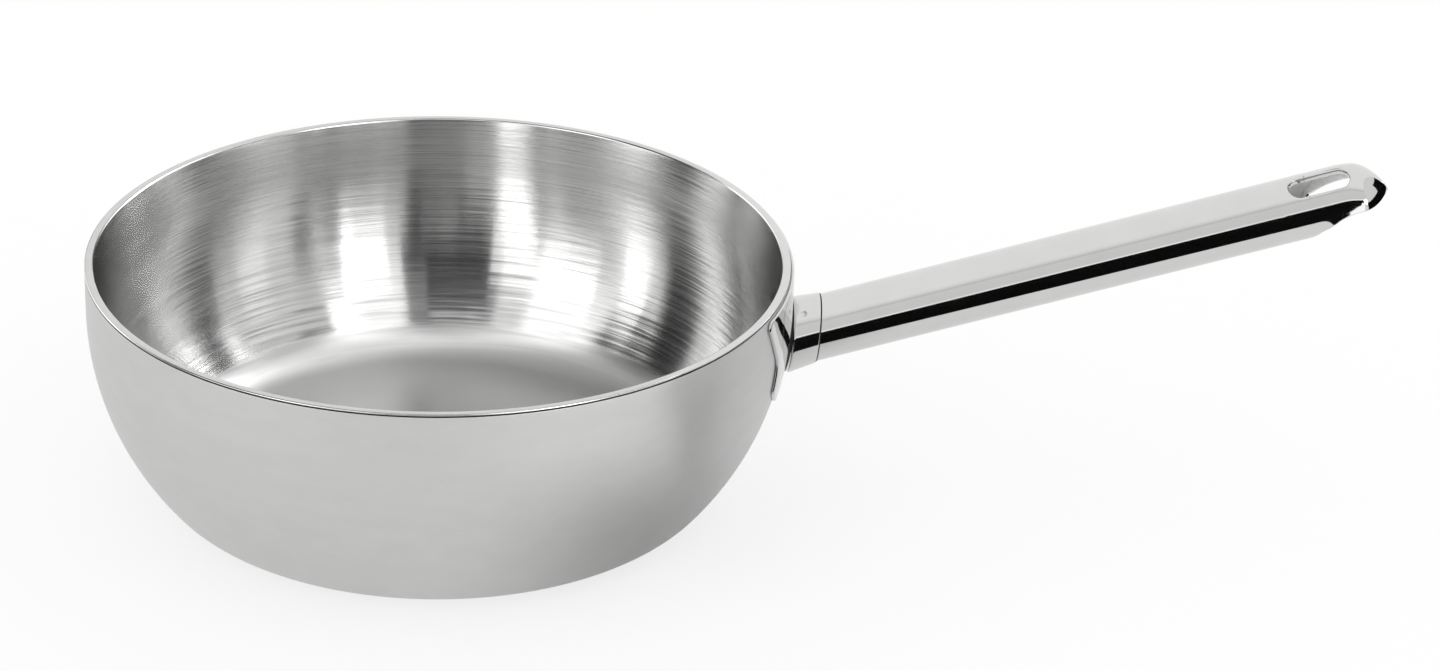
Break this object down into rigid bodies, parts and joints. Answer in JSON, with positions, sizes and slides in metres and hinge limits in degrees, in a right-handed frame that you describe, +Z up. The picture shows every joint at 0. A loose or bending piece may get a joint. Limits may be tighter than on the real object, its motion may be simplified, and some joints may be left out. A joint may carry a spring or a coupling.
{
  "type": "saucier pan",
  "caption": "Round-bellied clad steel saucier pan with a flat base, a polished rim and a long rising tube handle with a scooped, pierced end.",
  "frame": {"origin": "middle of the underside of the flat base", "axes": "+Z up, out of the bowl's mouth; the handle runs out along +X"},
  "size_m": [0.4452, 0.24, 0.1185],
  "materials": {
    "satin_steel": "fine satin, brushed round the bowl",
    "core_aluminium": "plain rolled",
    "liner_steel": "bright, turned marks round the bowl, satin floor",
    "bracket_steel": "polished",
    "spigot_steel": "turned",
    "collar_steel": "polished",
    "tube_steel": "bright polished"
  },
  "bodies": {
    "root": {"outer_skin": "satin_steel", "aluminium_core": "core_aluminium", "inner_liner": "liner_steel", "handle_bracket": "bracket_steel", "joining_spigot": "spigot_steel", "handle_collar": "collar_steel", "handle_tube": "tube_steel"}
  },
  "joints": []
}
